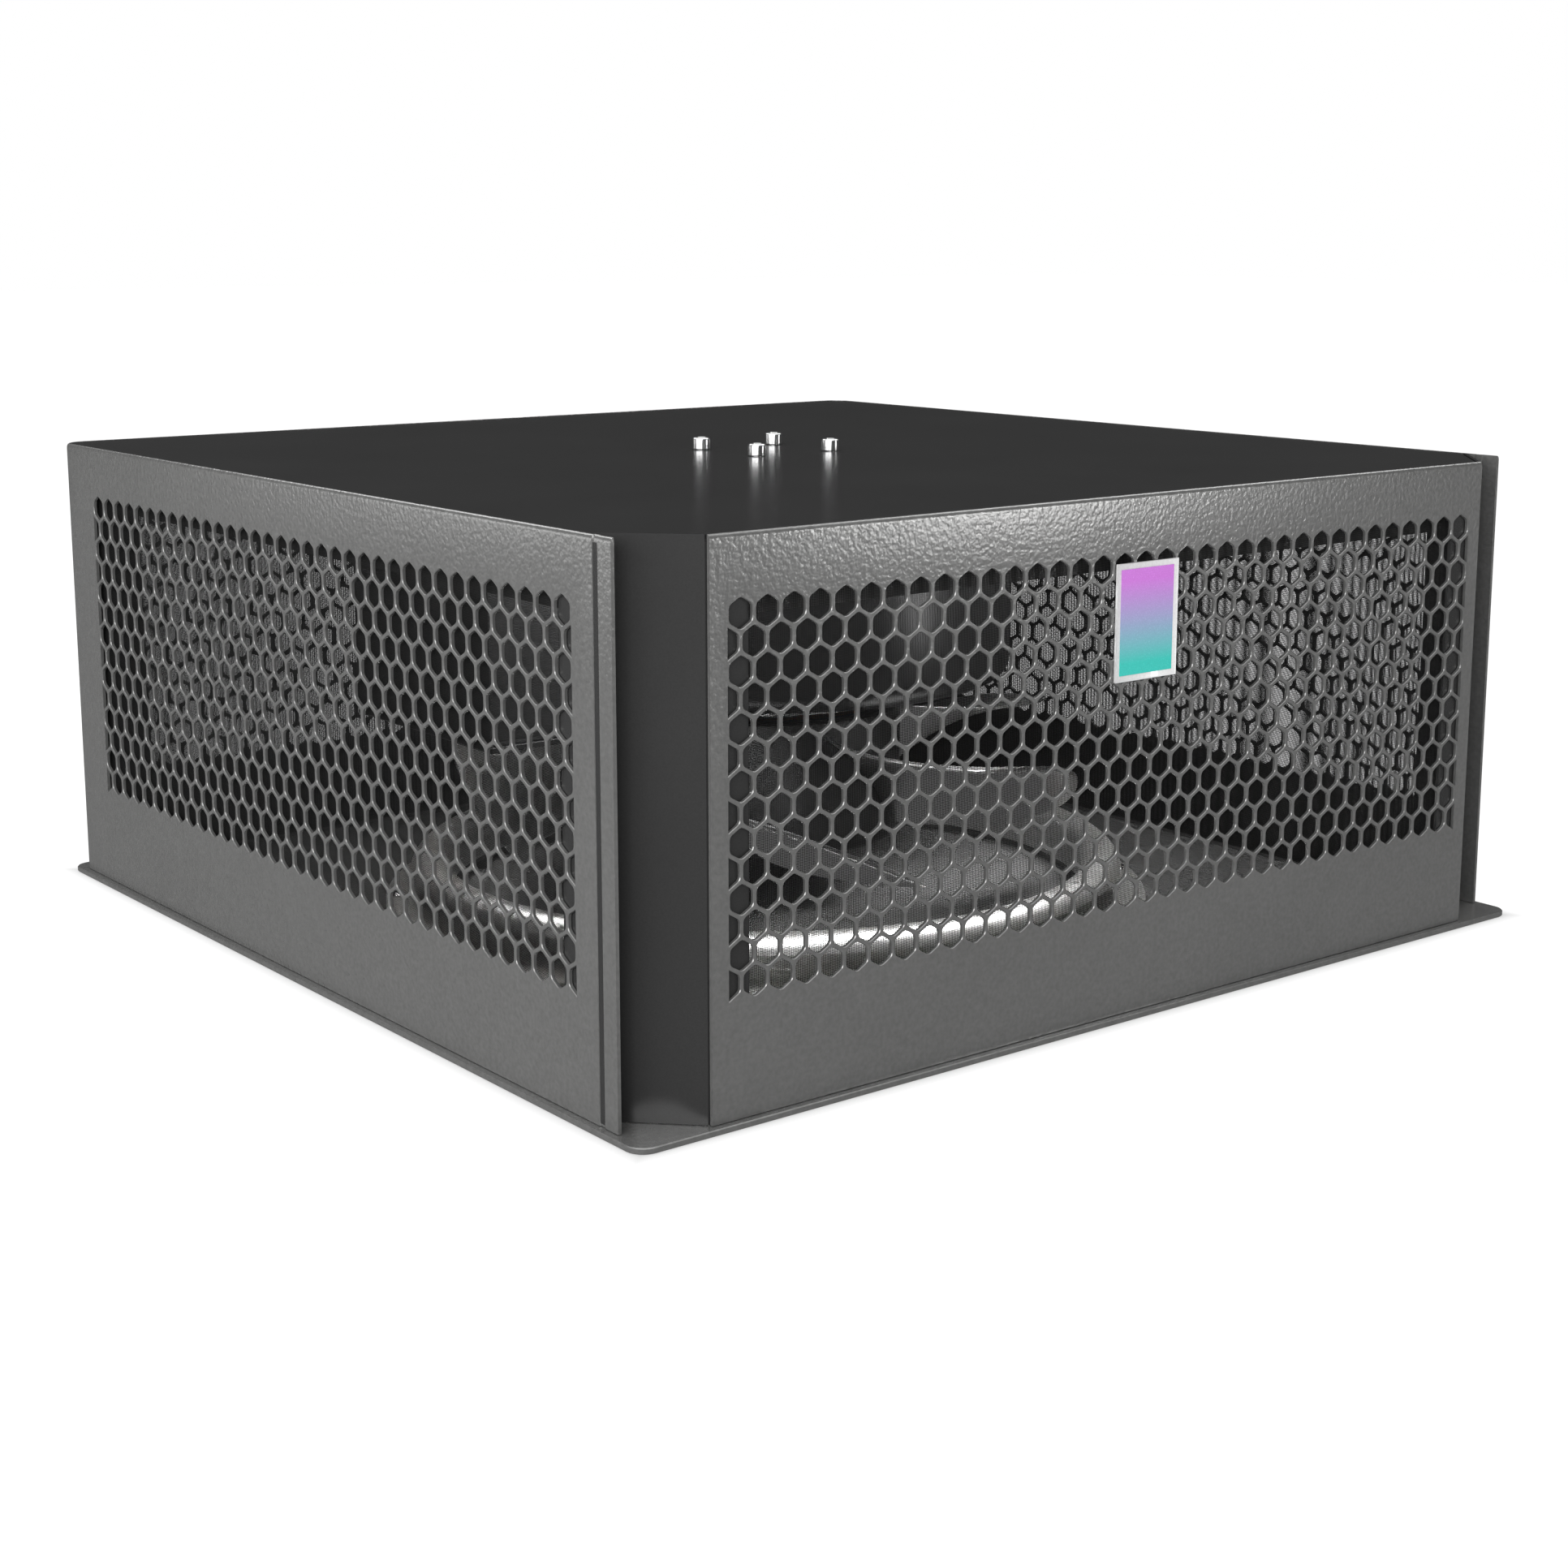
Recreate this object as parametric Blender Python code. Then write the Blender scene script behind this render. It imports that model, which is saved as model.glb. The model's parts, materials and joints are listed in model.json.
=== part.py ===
"""Square plinth-mounted ventilation fan: a flat cabinet with honeycomb sides and a mixed-flow impeller.

Metres, +Z up. The origin is at the centre of the base plate's underside. The front panel faces -Y.
"""

from math import cos, pi, radians, sin, sqrt

import bmesh
import bpy
from mathutils import Matrix, Vector

# ---- driving dimensions ------------------------------------------------------------------------
GAP = 0.0003  # clearance between pieces that touch

BODY = 0.500  # cabinet width and depth over the panels
HALF = BODY / 2
RIM = 0.2184  # height of the panels' top edges
SHEET = 0.0015  # panel sheet
BEND = 0.013  # outside radius of the two bends at the rear
CHAMFER = 0.0318  # leg of the 45 degree corner posts at the front
LIP_END = 0.0140  # how far the side sheets stop short of the front corners
FLANGE = 0.012  # inward flanges at the top and bottom of the panels
FLANGE_END = 0.052  # the flanges stop this far from the front corners
RETURN_LOW = 0.1870  # the upper flanges turn down again to this height
SCREEN_INSET = 0.0042  # the insect screen stands this far inside the panels' outer faces
SCREEN_T = 0.0004

BASE_SIZE = 0.5065
BASE_T = 0.0025
BASE_CORNER = 0.008
INLET_OPENING = 0.160  # radius of the hole in the base plate

TOP_T = 0.002
TOP_FACE = RIM - 0.0002  # upper face of the top plate, just below the rim
TOP_UNDER = TOP_FACE - TOP_T

STUD_PITCH = 0.044  # square of the four motor screws
STUD_R = 0.0025
STUD_HEAD_R = 0.0043
STUD_HEAD_H = 0.0056

RING_THROAT = 0.1535  # inside radius of the inlet ring
RING_CURL = 0.0095  # radius of the curled lip
RING_CURL_Z = 0.0165
RING_FLANGE_R = 0.1860
RING_SCREW_R = 0.1800
RING_SCREW_COUNT = 6

HUB_Z = 0.0330  # underside of the impeller hub
HUB_R = 0.0655
HUB_T = 0.0025
HUB_H = 0.0640
CAN_R = 0.0620
CAN_T = 0.0030
SHAFT_R = 0.0060
BLADES = 5
BLADE_TIP = 0.1520
BLADE_T = 0.0026
BLADE_LOW = 0.0385
BLADE_HIGH = 0.0930

BELL_R = 0.1180  # drum that hangs from the lid and carries the motor
BELL_T = 0.0020
BELL_Z = 0.1110
BELL_CORNER = 0.0100
FLANGE_SCREW_R = 0.0520
MOTOR_HOLE = 0.0440
HUB_SCREW_R = 0.0400

BOX_MIN = Vector((-0.217, -0.100, 0.1200))  # terminal box
BOX_MAX = Vector((-0.150, 0.010, TOP_UNDER - GAP))
BOX_WALL = 0.0025
LEAD_Y = -0.030
LEAD_Z = 0.1900
LEAD_R = 0.0035

BADGE_W = 0.0350
BADGE_H = 0.0480
BADGE_T = 0.0012
BADGE_TOP = 0.1912

SEGMENTS = 48


# ---- helpers -----------------------------------------------------------------------------------
def clear_scene():
    for obj in list(bpy.data.objects):
        bpy.data.objects.remove(obj, do_unlink=True)


def material(name, colour, metallic, roughness):
    mat = bpy.data.materials.new(name)
    mat.use_nodes = True
    shader = mat.node_tree.nodes["Principled BSDF"]
    shader.inputs["Base Color"].default_value = (*colour, 1.0)
    shader.inputs["Metallic"].default_value = metallic
    shader.inputs["Roughness"].default_value = roughness
    return mat


def add(name, bm, finish, smooth=False):
    """Turns a bmesh into a named object with its own material."""
    bmesh.ops.recalc_face_normals(bm, faces=bm.faces)
    mesh = bpy.data.meshes.new(name)
    bm.to_mesh(mesh)
    bm.free()
    if smooth:
        mesh.shade_smooth()
        mesh.set_sharp_from_angle(angle=radians(35))
    obj = bpy.data.objects.new(name, mesh)
    bpy.context.scene.collection.objects.link(obj)
    obj.data.materials.append(material(name + "_finish", *finish))
    return obj


def prism(bm, outline, low, high):
    """Adds the solid between two heights over a closed outline of (x, y) points."""
    bottom = [bm.verts.new((x, y, low)) for x, y in outline]
    top = [bm.verts.new((x, y, high)) for x, y in outline]
    bm.faces.new(list(reversed(bottom)))
    bm.faces.new(top)
    for i, vert in enumerate(bottom):
        j = (i + 1) % len(bottom)
        bm.faces.new((vert, bottom[j], top[j], top[i]))


def block(bm, low, high):
    (x0, y0, z0), (x1, y1, z1) = low, high
    prism(bm, [(x0, y0), (x1, y0), (x1, y1), (x0, y1)], z0, z1)


def circle(radius, segments, centre=(0.0, 0.0), start=0.0):
    step = 2 * pi / segments
    return [
        (centre[0] + radius * cos(start + i * step), centre[1] + radius * sin(start + i * step))
        for i in range(segments)
    ]


def turned(bm, profile, segments=SEGMENTS, matrix=Matrix.Identity(4)):
    """Adds the solid swept by a closed (radius, height) profile about the Z axis."""
    rings = []
    for radius, height in profile:
        if radius < 1e-7:
            rings.append([bm.verts.new(matrix @ Vector((0, 0, height)))])
            continue
        points = circle(radius, segments)
        rings.append([bm.verts.new(matrix @ Vector((x, y, height))) for x, y in points])
    for i, ring in enumerate(rings):
        other = rings[(i + 1) % len(rings)]
        if len(ring) == 1 and len(other) == 1:
            continue
        for k in range(segments):
            n = (k + 1) % segments
            corners = [ring[k % len(ring)], ring[n % len(ring)], other[n % len(other)], other[k % len(other)]]
            unique = list(dict.fromkeys(corners))
            bm.faces.new(unique)


def annulus(bm, inner, outer, low, high, segments=SEGMENTS):
    turned(bm, [(inner, low), (outer, low), (outer, high), (inner, high)], segments)


def button_screw(bm, seat, head, shank_r, shank_end, up=1.0):
    """A domed head on a round shank. seat is where the head's flat face lies; up is its direction."""
    head_r, head_h = head
    place = Matrix.Translation((0, 0, seat)) @ Matrix.Scale(up, 4, (0, 0, 1))
    length = abs(shank_end - seat)
    profile = [
        (0.0, -length),
        (shank_r, -length),
        (shank_r, 0.0),
        (head_r, 0.0),
        (head_r, head_h * 0.4),
        (head_r * 0.7, head_h * 0.92),
        (0.0, head_h),
    ]
    turned(bm, profile, 12, place)


def hex_nut(bm, across_r, bore_r, low, high):
    turned(bm, [(across_r, low), (across_r, high), (bore_r, high), (bore_r, low)], 6)


def repeat(name, bm, finish, centres):
    """One numbered object for each centre, all with the same mesh."""
    first = add(name + "_1", bm, finish, smooth=True)
    objects = [first]
    for number in range(2, len(centres) + 1):
        copy = bpy.data.objects.new(f"{name}_{number}", first.data)
        bpy.context.scene.collection.objects.link(copy)
        objects.append(copy)
    for obj, (x, y) in zip(objects, centres):
        obj.location = (x, y, 0.0)
    return objects


def path_normals(path):
    """The mitred inward offsets of an open path that runs clockwise seen from above."""
    sides = [Vector((b[1] - a[1], a[0] - b[0])).normalized() for a, b in zip(path, path[1:])]
    normals = []
    for before, after in zip(sides[:1] + sides, sides + sides[-1:]):
        mean = (before + after).normalized()
        normals.append(mean / mean.dot(before))
    return normals


def strip(bm, path, near, far, low, high):
    """A bent sheet that follows a path, between two inward offsets and two heights."""
    normals = path_normals(path)
    outer = [(x + n.x * near, y + n.y * near) for (x, y), n in zip(path, normals)]
    inner = [(x + n.x * far, y + n.y * far) for (x, y), n in zip(path, normals)]
    prism(bm, outer + inner[::-1], low, high)


def boolean(obj, other, operation):
    other.hide_render = True
    other.display_type = "WIRE"
    modifier = obj.modifiers.new(operation.lower(), "BOOLEAN")
    modifier.operation = operation
    modifier.object = other
    modifier.solver = "EXACT"


def drill(obj, centres, radius, low, high, segments=16):
    """Cuts round holes along Z through an object."""
    bm = bmesh.new()
    for centre in centres:
        prism(bm, circle(radius, segments, centre), low, high)
    boolean(obj, add(obj.name + "_drill", bm, (BLACK, 0.0, 0.5)), "DIFFERENCE")


# ---- screw positions, seen from above --------------------------------------------------------------
STUDS = circle(STUD_PITCH / sqrt(2), 4, start=pi / 4)
RING_SCREWS = circle(RING_SCREW_R, RING_SCREW_COUNT, start=pi / RING_SCREW_COUNT)
FLANGE_SCREWS = circle(FLANGE_SCREW_R, 4, start=pi / 4)
HUB_SCREWS = circle(HUB_SCREW_R, 4, start=pi / 4)

# ---- finishes: colour, metallic, roughness -------------------------------------------------------
BLACK = (0.012, 0.012, 0.013)
GREY_METAL = ((0.20, 0.20, 0.195), 0.85, 0.42)
DARK_PAINT = ((0.035, 0.035, 0.036), 0.30, 0.45)
GALVANISED = ((0.55, 0.56, 0.57), 0.95, 0.35)
STEEL = ((0.60, 0.60, 0.60), 1.0, 0.28)
CAST = ((0.45, 0.46, 0.47), 0.9, 0.5)
BLACK_PAINT = (BLACK, 0.2, 0.45)
BLACK_PLASTIC = (BLACK, 0.0, 0.55)
RUBBER = ((0.02, 0.02, 0.02), 0.0, 0.85)
COPPER = ((0.60, 0.26, 0.12), 0.9, 0.4)
BLADE_METAL = ((0.40, 0.41, 0.42), 0.9, 0.35)


# ---- cabinet -----------------------------------------------------------------------------------
PANEL_LOW = BASE_T + GAP
FLANGE_TOP = TOP_UNDER - GAP


def rounded_square(half, radius, steps=6):
    points = []
    for quarter in range(4):
        turn = quarter * pi / 2
        reach = (half - radius) * sqrt(2)
        cx, cy = reach * cos(turn + pi / 4), reach * sin(turn + pi / 4)
        for i in range(steps + 1):
            angle = turn + i * pi / 2 / steps
            points.append((cx + radius * cos(angle), cy + radius * sin(angle)))
    return points


def base_plate():
    bm = bmesh.new()
    prism(bm, rounded_square(BASE_SIZE / 2, BASE_CORNER), 0.0, BASE_T)
    plate = add("base_plate", bm, GREY_METAL)
    drill(plate, [(0.0, 0.0)], INLET_OPENING, -0.01, 0.01, SEGMENTS)
    drill(plate, RING_SCREWS, 0.0022, -0.009, 0.011, 12)


def wrap_path(front_y, radius=BEND, steps=6):
    """Left side, round the rear and back along the right side, clockwise seen from above."""
    path = [(-HALF, front_y)]
    for cx, start in ((-HALF + radius, pi), (HALF - radius, pi / 2)):
        for i in range(steps + 1):
            angle = start - i * pi / 2 / steps
            path.append((cx + radius * cos(angle), HALF - radius + radius * sin(angle)))
    path.append((HALF, front_y))
    return path


def wrap_panel():
    """One sheet bent round the left side, the rear and the right side, with inward flanges."""
    bm = bmesh.new()
    strip(bm, wrap_path(-HALF + LIP_END), 0.0, SHEET, PANEL_LOW, RIM)
    sheet = add("wrap_panel", bm, GREY_METAL)
    flanges = wrap_path(-HALF + FLANGE_END)
    for tag, low in (("lower", PANEL_LOW), ("upper", FLANGE_TOP - SHEET)):
        bm = bmesh.new()
        strip(bm, flanges, SHEET / 2, FLANGE, low, low + SHEET)
        boolean(sheet, add("wrap_flange_" + tag, bm, GREY_METAL), "UNION")
    bm = bmesh.new()
    strip(bm, flanges, FLANGE - SHEET, FLANGE, RETURN_LOW, FLANGE_TOP)
    boolean(sheet, add("wrap_return", bm, GREY_METAL), "UNION")


def front_panel():
    """The flat front sheet between the two corner posts, with its own flanges."""
    edge = HALF - CHAMFER
    bm = bmesh.new()
    block(bm, (-edge, -HALF, PANEL_LOW), (edge, -HALF + SHEET, RIM))
    sheet = add("front_panel", bm, GREY_METAL)
    reach = HALF - FLANGE_END
    for tag, low in (("lower", PANEL_LOW), ("upper", FLANGE_TOP - SHEET)):
        bm = bmesh.new()
        block(bm, (-reach, -HALF + SHEET / 2, low), (reach, -HALF + FLANGE, low + SHEET))
        boolean(sheet, add("front_flange_" + tag, bm, GREY_METAL), "UNION")
    bm = bmesh.new()
    block(bm, (-reach, -HALF + FLANGE - SHEET, RETURN_LOW), (reach, -HALF + FLANGE, FLANGE_TOP))
    boolean(sheet, add("front_return", bm, GREY_METAL), "UNION")


def corner_post(name, side):
    """A dark folded post: a 45 degree face and two flanges behind the neighbouring panels."""
    inner = HALF - SHEET - GAP
    knee = HALF - CHAMFER + 0.0007
    web = [(-knee, -inner), (-inner, -knee)]
    flange = HALF - FLANGE_END + 0.002
    bm = bmesh.new()
    corners = [(side * x, y) for x, y in web]
    strip(bm, corners, 0.0, side * SHEET, PANEL_LOW, RIM)
    post = add(name, bm, DARK_PAINT)
    whole = [(-flange, -inner), (-knee, -inner), (-inner, -knee), (-inner, -flange)]
    bm = bmesh.new()
    strip(bm, [(side * x, y) for x, y in whole], 0.0, side * SHEET, PANEL_LOW, FLANGE_TOP)
    boolean(post, add(name + "_fold", bm, DARK_PAINT), "UNION")


def top_plate():
    """The dark lid. It lies inside the panels, and its front corners follow the posts."""
    edge = HALF - SHEET - 0.0005
    cut = 2 * HALF - CHAMFER - SHEET * sqrt(2) - 0.0022
    radius = BEND - SHEET - 0.0005
    outline = [(-(cut - edge), -edge), (-edge, -(cut - edge))]
    for cx, start in ((-edge + radius, pi), (edge - radius, pi / 2)):
        for i in range(7):
            angle = start - i * pi / 12
            outline.append((cx + radius * cos(angle), edge - radius + radius * sin(angle)))
    outline += [(edge, -(cut - edge)), (cut - edge, -edge)]
    bm = bmesh.new()
    prism(bm, outline[::-1], TOP_UNDER, TOP_FACE)
    plate = add("top_plate", bm, DARK_PAINT)
    drill(plate, STUDS, STUD_R + GAP, TOP_UNDER - 0.01, TOP_FACE + 0.01)


def insect_screen():
    """A fine gauze that lines all four sides between the flanges. It is a plain thin sheet here."""
    low, high = PANEL_LOW + SHEET + GAP, FLANGE_TOP - SHEET - GAP
    outlines = []
    for inset in (SCREEN_INSET, SCREEN_INSET + SCREEN_T):
        edge = HALF - inset
        knee = HALF - CHAMFER - inset * (sqrt(2) - 1)
        radius = BEND - inset
        outline = [(-knee, -edge), (-edge, -knee)]
        for cx, start in ((-edge + radius, pi), (edge - radius, pi / 2)):
            for i in range(7):
                angle = start - i * pi / 12
                outline.append((cx + radius * cos(angle), edge - radius + radius * sin(angle)))
        outlines.append(outline + [(edge, -knee), (knee, -edge)])
    bm = bmesh.new()
    prism(bm, outlines[0][::-1], low, high)
    screen = add("insect_screen", bm, BLACK_PAINT)
    bm = bmesh.new()
    prism(bm, outlines[1][::-1], low - 0.01, high + 0.01)
    boolean(screen, add("insect_screen_inside", bm, BLACK_PAINT), "DIFFERENCE")


def badge():
    bm = bmesh.new()
    y = -HALF - GAP
    block(bm, (-BADGE_W / 2, y - BADGE_T, BADGE_TOP - BADGE_H), (BADGE_W / 2, y, BADGE_TOP))
    plate = add("badge_plate", bm, GALVANISED)
    bevel = plate.modifiers.new("edges", "BEVEL")
    bevel.width = 0.0004
    bevel.segments = 1


# ---- inlet -------------------------------------------------------------------------------------
def inlet_ring():
    """A pressed ring on the base plate: flat flange, throat and a lip curled outward."""
    half = SHEET / 2
    flange_z = BASE_T + GAP + half
    fillet = 0.006
    line = [(RING_FLANGE_R, flange_z)]
    for i in range(4):
        angle = -pi / 2 - i * pi / 6
        centre = (RING_THROAT + half + fillet, flange_z + fillet)
        line.append((centre[0] + fillet * cos(angle), centre[1] + fillet * sin(angle)))
    curl = (RING_THROAT + half + RING_CURL, RING_CURL_Z)
    for i in range(7):
        angle = pi - i * radians(165) / 6
        line.append((curl[0] + RING_CURL * cos(angle), curl[1] + RING_CURL * sin(angle)))
    normals = path_normals(line)
    outer = [(x + n.x * half, y + n.y * half) for (x, y), n in zip(line, normals)]
    inner = [(x - n.x * half, y - n.y * half) for (x, y), n in zip(line, normals)]
    bm = bmesh.new()
    turned(bm, outer + inner[::-1])
    ring = add("inlet_ring", bm, GALVANISED, smooth=True)
    drill(ring, RING_SCREWS, 0.0022, -0.01, 0.012, 12)

    bm = bmesh.new()
    button_screw(bm, flange_z + half + GAP, (0.0038, 0.0022), 0.0018, 0.0006)
    repeat("inlet_ring_screw", bm, STEEL, RING_SCREWS)


# ---- motor, fixed pieces -------------------------------------------------------------------------
CAN_Z = HUB_Z + HUB_T + GAP
CAN_TOP = CAN_Z + 0.0620
FLANGE_Z = CAN_TOP + 0.0020
STATOR_FLANGE_T = BELL_Z - GAP - FLANGE_Z
TUBE_LOW = CAN_Z + 0.0080
TUBE_IN = 0.0120
TUBE_OUT = 0.0160


def motor_mounting():
    """The four screws seen on the lid, their nuts, and the drum-shaped bell they hold."""
    bm = bmesh.new()
    button_screw(bm, TOP_FACE + GAP, (STUD_HEAD_R, STUD_HEAD_H), STUD_R, TOP_UNDER - 0.0085)
    repeat("motor_screw", bm, STEEL, STUDS)

    top = TOP_UNDER - GAP
    skin = top - BELL_T
    bm = bmesh.new()
    hex_nut(bm, 0.0048, STUD_R + 2 * GAP, skin - GAP - 0.0040, skin - GAP)
    repeat("motor_screw_nut", bm, STEEL, STUDS)

    floor = BELL_Z + BELL_T
    inner = BELL_R - BELL_T
    bend = BELL_CORNER
    profile = [(0.0120, top), (0.0120, skin), (inner, skin), (inner, floor + bend)]
    profile += [(inner - bend + bend * cos(a), floor + bend - bend * sin(a)) for a in (pi / 6, pi / 3)]
    profile += [(inner - bend, floor), (MOTOR_HOLE, floor), (MOTOR_HOLE, BELL_Z), (BELL_R - bend, BELL_Z)]
    profile += [(BELL_R - bend + bend * cos(a), BELL_Z + bend - bend * sin(a)) for a in (pi / 3, pi / 6)]
    profile += [(BELL_R, BELL_Z + bend), (BELL_R, top)]
    bm = bmesh.new()
    turned(bm, profile)
    bell = add("motor_bell", bm, BLACK_PAINT, smooth=True)
    drill(bell, STUDS, STUD_R + GAP, skin - 0.002, top + 0.002)
    drill(bell, FLANGE_SCREWS, 0.0024, BELL_Z - 0.002, floor + 0.002, 12)
    bm = bmesh.new()
    place = Matrix.Translation((-BELL_R, LEAD_Y, LEAD_Z)) @ Matrix.Rotation(pi / 2, 4, "Y")
    turned(bm, [(0.0, -0.015), (LEAD_R + 0.001, -0.015), (LEAD_R + 0.001, 0.01), (0.0, 0.01)], 16, place)
    boolean(bell, add("motor_bell_lead_hole", bm, BLACK_PAINT), "DIFFERENCE")


def stator():
    """Flange with its bearing tube, laminations, windings and two bearings."""
    profile = [
        (TUBE_IN, TUBE_LOW), (TUBE_OUT, TUBE_LOW), (TUBE_OUT, FLANGE_Z), (CAN_R - 0.003, FLANGE_Z),
        (CAN_R - 0.003, FLANGE_Z + STATOR_FLANGE_T), (TUBE_IN, FLANGE_Z + STATOR_FLANGE_T),
    ]
    bm = bmesh.new()
    turned(bm, profile, 40)
    flange = add("stator_flange", bm, CAST, smooth=True)
    drill(flange, FLANGE_SCREWS, 0.0024, FLANGE_Z + 0.0035, BELL_Z + 0.001, 12)

    bm = bmesh.new()
    button_screw(bm, BELL_Z + BELL_T + GAP, (0.0040, 0.0026), 0.0020, FLANGE_Z + 0.0045)
    repeat("stator_flange_screw", bm, STEEL, FLANGE_SCREWS)

    core_low, core_high = CAN_Z + 0.0170, CAN_Z + 0.0470
    bm = bmesh.new()
    annulus(bm, TUBE_OUT + GAP, 0.0500, core_low, core_high, 32)
    add("stator_core", bm, STEEL, smooth=True)
    for name, low in (("winding_lower", core_low - GAP - 0.0087), ("winding_upper", core_high + GAP)):
        bm = bmesh.new()
        annulus(bm, 0.0220, 0.0450, low, low + 0.0087, 32)
        winding = add(name, bm, COPPER, smooth=True)
        bevel = winding.modifiers.new("rounding", "BEVEL")
        bevel.width = 0.002
        bevel.segments = 1

    for name, low in (("bearing_lower", TUBE_LOW + 0.001), ("bearing_upper", FLANGE_Z - 0.004)):
        bm = bmesh.new()
        annulus(bm, SHAFT_R + GAP, TUBE_IN - GAP, low, low + 0.008, 24)
        add(name, bm, STEEL, smooth=True)


# ---- rotor and impeller, which turn about the Z axis ---------------------------------------------
def rotor():
    hub_axis = bpy.data.objects.new("rotor_axis", None)
    hub_axis.empty_display_size = 0.05
    bpy.context.scene.collection.objects.link(hub_axis)
    pieces = [rotor_can(), rotor_ring(), motor_shaft(), impeller_hub()]
    pieces += hub_screws() + [impeller_blade(i) for i in range(BLADES)]
    for piece in pieces:
        piece.parent = hub_axis


def rotor_can():
    inner = CAN_R - CAN_T
    bm = bmesh.new()
    profile = [
        (SHAFT_R + GAP, CAN_Z), (CAN_R - 0.002, CAN_Z), (CAN_R, CAN_Z + 0.002), (CAN_R, CAN_TOP),
        (inner, CAN_TOP), (inner, CAN_Z + CAN_T), (SHAFT_R + GAP, CAN_Z + CAN_T),
    ]
    turned(bm, profile)
    can = add("rotor_can", bm, BLACK_PAINT, smooth=True)
    drill(can, HUB_SCREWS, 0.0024, CAN_Z - 0.001, CAN_Z + CAN_T + 0.001, 12)
    return can


def rotor_ring():
    bm = bmesh.new()
    annulus(bm, 0.0506, CAN_R - CAN_T - GAP, CAN_Z + 0.0150, CAN_Z + 0.0490, 32)
    return add("rotor_ring", bm, STEEL, smooth=True)


def motor_shaft():
    bm = bmesh.new()
    low, high = HUB_Z + HUB_T + 0.0006, FLANGE_Z + STATOR_FLANGE_T - 0.001
    end = [(SHAFT_R, high - 0.001), (SHAFT_R - 0.001, high), (0.0, high)]
    turned(bm, [(0.0, low), (SHAFT_R, low), *end], 24)
    return add("motor_shaft", bm, STEEL, smooth=True)


def impeller_hub():
    """A cup that fits round the rotor can and carries the blades."""
    inner = CAN_R + GAP
    high = HUB_Z + HUB_H
    bm = bmesh.new()
    profile = [
        (0.0180, HUB_Z), (HUB_R - 0.004, HUB_Z), (HUB_R, HUB_Z + 0.004), (HUB_R, high), (inner, high),
        (inner, HUB_Z + HUB_T), (0.0180, HUB_Z + HUB_T),
    ]
    turned(bm, profile)
    hub = add("impeller_hub", bm, BLACK_PLASTIC, smooth=True)
    drill(hub, HUB_SCREWS, 0.0024, HUB_Z - 0.001, HUB_Z + HUB_T + 0.001, 12)
    return hub


def hub_screws():
    bm = bmesh.new()
    button_screw(bm, HUB_Z - GAP, (0.0042, 0.0022), 0.0020, CAN_Z + CAN_T - 0.0005, up=-1.0)
    return repeat("impeller_hub_screw", bm, STEEL, HUB_SCREWS)


def blade_point(radial, chord, lift):
    """A point of the cambered, swept blade. radial and chord run from 0 to 1."""
    root = HUB_R + GAP + 0.0002
    radius = root + (BLADE_TIP - root) * radial
    span = radians(44 + 18 * radial)
    sweep = radians(34) * radial**1.6
    angle = sweep - span * chord
    pitch_low = BLADE_LOW + 0.004 * (1 - radial)
    pitch_high = BLADE_HIGH - 0.006 * radial
    height = pitch_low + (pitch_high - pitch_low) * chord + 0.010 * sin(pi * chord) * (0.4 + 0.6 * radial)
    taper = 1.0 - 0.55 * abs(2 * chord - 1) ** 3
    return Vector((radius * cos(angle), radius * sin(angle), height + lift * taper))


def impeller_blade(index, across=5, along=9):
    bm = bmesh.new()
    turn = Matrix.Rotation(2 * pi * index / BLADES - radians(62), 4, "Z")
    skins = []
    for lift in (-BLADE_T / 2, BLADE_T / 2):
        skins.append([
            [bm.verts.new(turn @ blade_point(i / across, j / along, lift)) for j in range(along + 1)]
            for i in range(across + 1)
        ])
    lower, upper = skins
    for grid in skins:
        for i in range(across):
            for j in range(along):
                bm.faces.new((grid[i][j], grid[i + 1][j], grid[i + 1][j + 1], grid[i][j + 1]))
    border = [(i, 0) for i in range(across)] + [(across, j) for j in range(along)]
    border += [(i, along) for i in range(across, 0, -1)] + [(0, j) for j in range(along, 0, -1)]
    for (a, b), (c, d) in zip(border, border[1:] + border[:1]):
        bm.faces.new((lower[a][b], lower[c][d], upper[c][d], upper[a][b]))
    return add(f"impeller_blade_{index + 1}", bm, BLADE_METAL, smooth=True)


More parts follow.
